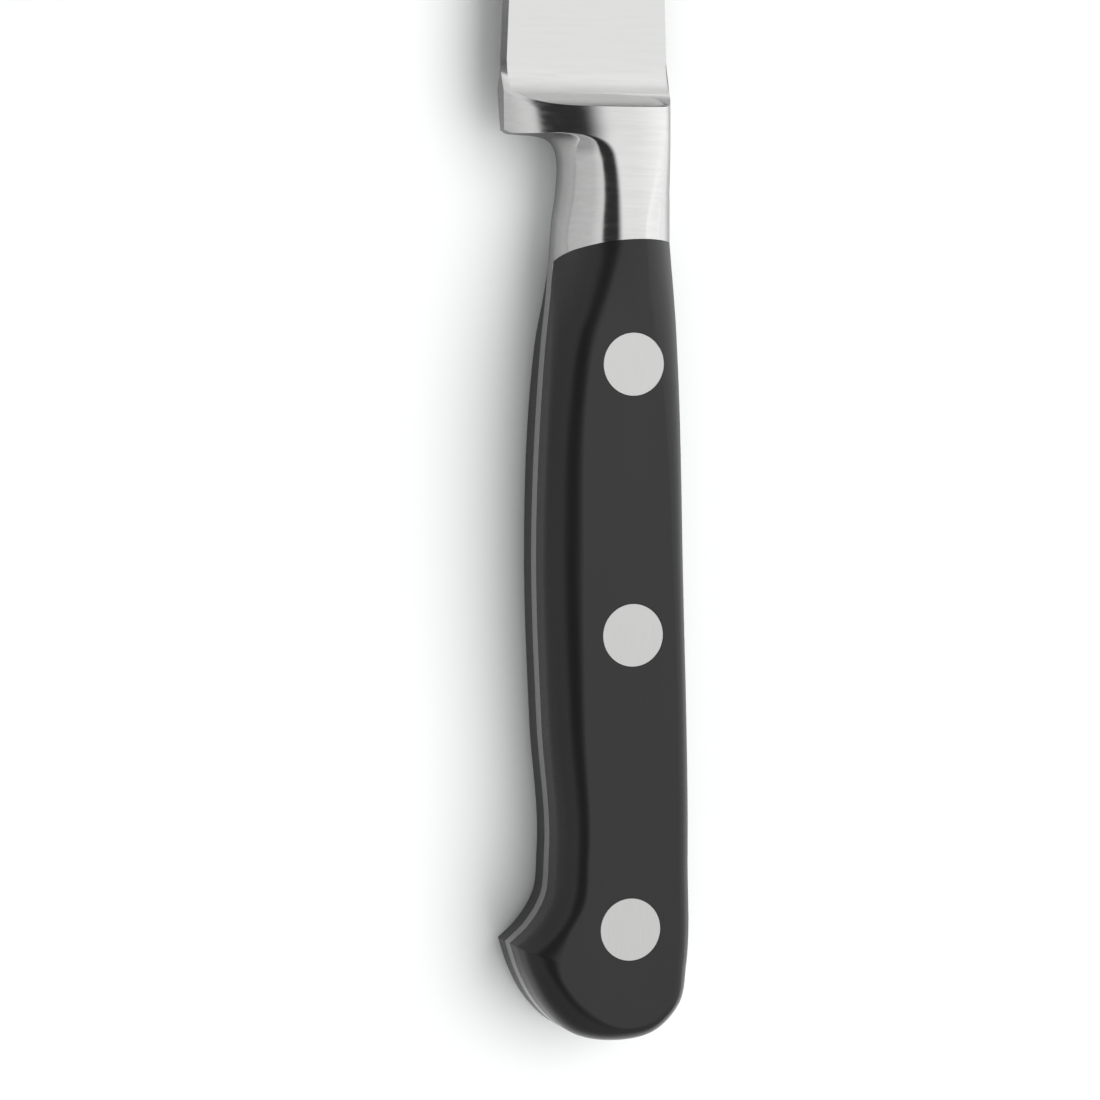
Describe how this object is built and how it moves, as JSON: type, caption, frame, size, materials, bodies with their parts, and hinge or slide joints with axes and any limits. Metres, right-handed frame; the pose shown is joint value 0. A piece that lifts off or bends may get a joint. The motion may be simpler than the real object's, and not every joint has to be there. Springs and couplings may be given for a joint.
{
  "type": "kitchen knife",
  "caption": "Forged kitchen knife: pointed blade with full bolster and full tang, riveted black handle scales and a hooked butt.",
  "frame": {"origin": "centre of the bounding box in plan, on the surface the knife lies on: the far scale's flat is at z = 0", "axes": "+Y from the butt towards the blade's tip, +X from the cutting edge towards the spine, +Z out of the near side of the knife as it lies on its far side"},
  "size_m": [0.024, 0.2712, 0.0152],
  "materials": {
    "forged_steel": "satin ground, fine grain across the blade and bolster",
    "black_polymer": "satin black, moulded and linished along the handle",
    "rivet_steel": "ground flush with the scales, grain along the handle"
  },
  "bodies": {
    "root": {"blade_forging": "forged_steel", "near_scale": "black_polymer", "far_scale": "black_polymer", "front_rivet_sleeve": "rivet_steel", "front_rivet_pin": "rivet_steel", "middle_rivet_sleeve": "rivet_steel", "middle_rivet_pin": "rivet_steel", "rear_rivet_sleeve": "rivet_steel", "rear_rivet_pin": "rivet_steel"}
  },
  "joints": []
}
